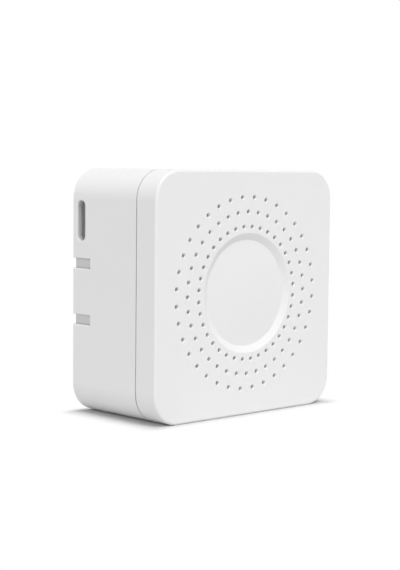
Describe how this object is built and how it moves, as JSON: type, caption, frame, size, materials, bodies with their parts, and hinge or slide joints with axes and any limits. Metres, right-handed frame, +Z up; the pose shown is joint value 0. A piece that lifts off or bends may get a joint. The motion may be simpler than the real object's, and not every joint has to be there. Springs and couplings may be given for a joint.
{
  "type": "smart relay module",
  "caption": "Square white mains relay module with a vented, dished press-fit cover, a side pairing key, clip notches and rising-cage screw terminals.",
  "frame": {"origin": "middle of the underside of the narrow bottom wall that it stands on", "axes": "+Z up along the square face, -Y out of the vented front, +Y out of the flat back, +X to the viewer's right, towards the wire entries"},
  "size_m": [0.05, 0.0256, 0.05],
  "materials": {
    "case_white": "fine matte white moulding",
    "key_clear": "frosted clear moulding",
    "board_green": "solder mask over glass fibre",
    "board_blue": "dark solder mask over glass fibre",
    "screw_steel": "zinc plated",
    "moulding_black": "moulded epoxy and nylon",
    "moulding_white": "moulded nylon",
    "moulding_grey": "moulded box",
    "tinned_metal": "tin plated",
    "lamp_resin": "cast resin",
    "copper": "bare copper",
    "ferrite": "sintered ferrite",
    "tape_yellow": "polyester tape",
    "sleeve_black": "shrunk sleeve",
    "resin_blue": "dipped resin",
    "relay_iron": "plated soft iron",
    "contact_brass": "brass with a silver button",
    "relay_blue": "moulded dust cover",
    "terminal_green": "moulded nylon",
    "cage_zinc": "zinc plated"
  },
  "bodies": {
    "housing": {"rear_housing": "case_white", "main_board": "board_green", "board_screws": "screw_steel", "tact_switch_body": "moulding_black", "tact_switch_frame": "tinned_metal", "status_led": "lamp_resin", "bridge_rectifier": "moulding_black", "supply_controller": "moulding_black", "voltage_regulator": "moulding_black", "radio_board": "board_blue", "radio_shield": "tinned_metal", "radio_antenna": "copper", "transformer_core_upper": "ferrite", "transformer_core_lower": "ferrite", "transformer_bobbin": "moulding_black", "transformer_winding": "tape_yellow", "transformer_pins": "tinned_metal", "output_capacitor": "sleeve_black", "bulk_capacitor_1": "sleeve_black", "bulk_capacitor_2": "sleeve_black", "suppression_capacitor": "moulding_grey", "varistor": "resin_blue", "mains_fuse": "moulding_black", "filter_choke": "sleeve_black", "relay_base": "moulding_black", "relay_yoke": "relay_iron", "relay_core": "relay_iron", "relay_bobbin": "moulding_white", "relay_coil": "tape_yellow", "relay_coil_pins": "tinned_metal", "relay_fixed_contact": "contact_brass", "relay_case": "relay_blue", "terminal_housing": "terminal_green", "terminal_busbar_1": "tinned_metal", "terminal_busbar_2": "tinned_metal", "terminal_busbar_3": "tinned_metal", "terminal_busbar_4": "tinned_metal", "terminal_busbar_5": "tinned_metal"},
    "cover": {"front_cover": "case_white"},
    "key": {"pairing_key": "key_clear"},
    "switch_plunger": {"tact_switch_plunger": "moulding_black"},
    "armature": {"relay_armature": "relay_iron", "relay_contact_spring": "copper"},
    "screw_1": {"terminal_screw_1": "screw_steel"},
    "cage_1": {"terminal_cage_1": "cage_zinc"},
    "screw_2": {"terminal_screw_2": "screw_steel"},
    "cage_2": {"terminal_cage_2": "cage_zinc"},
    "screw_3": {"terminal_screw_3": "screw_steel"},
    "cage_3": {"terminal_cage_3": "cage_zinc"},
    "screw_4": {"terminal_screw_4": "screw_steel"},
    "cage_4": {"terminal_cage_4": "cage_zinc"},
    "screw_5": {"terminal_screw_5": "screw_steel"},
    "cage_5": {"terminal_cage_5": "cage_zinc"}
  },
  "joints": [
    {"name": "cover_pull_off", "type": "slide", "parent": "housing", "child": "cover", "axis": [0, -1, 0], "range_m": [0, 0.032]},
    {"name": "key_press", "type": "slide", "parent": "housing", "child": "key", "axis": [1, 0, 0], "range_m": [0, 0.0003], "stiffness_N_per_m": 4000},
    {"name": "switch_plunger_press", "type": "slide", "parent": "housing", "child": "switch_plunger", "axis": [1, 0, 0], "range_m": [0, 0.0003]},
    {"name": "armature_pull", "type": "hinge", "parent": "housing", "child": "armature", "pos_m": [0.0076, -0.005, 0.0166], "axis": [-1, 0, 0], "range_deg": [0, 2.5], "stiffness_Nm_per_rad": 0.02},
    {"name": "terminal_screw_1_turn", "type": "hinge", "parent": "housing", "child": "screw_1", "pos_m": [0.0186, -0.003, 0.015], "axis": [0, 1, 0], "range_deg": [0, 1440]},
    {"name": "terminal_cage_1_slide", "type": "slide", "parent": "housing", "child": "cage_1", "axis": [0, -1, 0], "range_m": [0, 0.002]},
    {"name": "terminal_screw_2_turn", "type": "hinge", "parent": "housing", "child": "screw_2", "pos_m": [0.0186, -0.003, 0.02], "axis": [0, 1, 0], "range_deg": [0, 1440]},
    {"name": "terminal_cage_2_slide", "type": "slide", "parent": "housing", "child": "cage_2", "axis": [0, -1, 0], "range_m": [0, 0.002]},
    {"name": "terminal_screw_3_turn", "type": "hinge", "parent": "housing", "child": "screw_3", "pos_m": [0.0186, -0.003, 0.025], "axis": [0, 1, 0], "range_deg": [0, 1440]},
    {"name": "terminal_cage_3_slide", "type": "slide", "parent": "housing", "child": "cage_3", "axis": [0, -1, 0], "range_m": [0, 0.002]},
    {"name": "terminal_screw_4_turn", "type": "hinge", "parent": "housing", "child": "screw_4", "pos_m": [0.0186, -0.003, 0.03], "axis": [0, 1, 0], "range_deg": [0, 1440]},
    {"name": "terminal_cage_4_slide", "type": "slide", "parent": "housing", "child": "cage_4", "axis": [0, -1, 0], "range_m": [0, 0.002]},
    {"name": "terminal_screw_5_turn", "type": "hinge", "parent": "housing", "child": "screw_5", "pos_m": [0.0186, -0.003, 0.035], "axis": [0, 1, 0], "range_deg": [0, 1440]},
    {"name": "terminal_cage_5_slide", "type": "slide", "parent": "housing", "child": "cage_5", "axis": [0, -1, 0], "range_m": [0, 0.002]}
  ],
  "couplings": [
    {"joint": "switch_plunger_press", "follows": "key_press", "ratio": 1},
    {"joint": "terminal_screw_1_turn", "follows": "terminal_cage_1_slide", "rad_per_m": 12566},
    {"joint": "terminal_screw_2_turn", "follows": "terminal_cage_2_slide", "rad_per_m": 12566},
    {"joint": "terminal_screw_3_turn", "follows": "terminal_cage_3_slide", "rad_per_m": 12566},
    {"joint": "terminal_screw_4_turn", "follows": "terminal_cage_4_slide", "rad_per_m": 12566},
    {"joint": "terminal_screw_5_turn", "follows": "terminal_cage_5_slide", "rad_per_m": 12566}
  ]
}
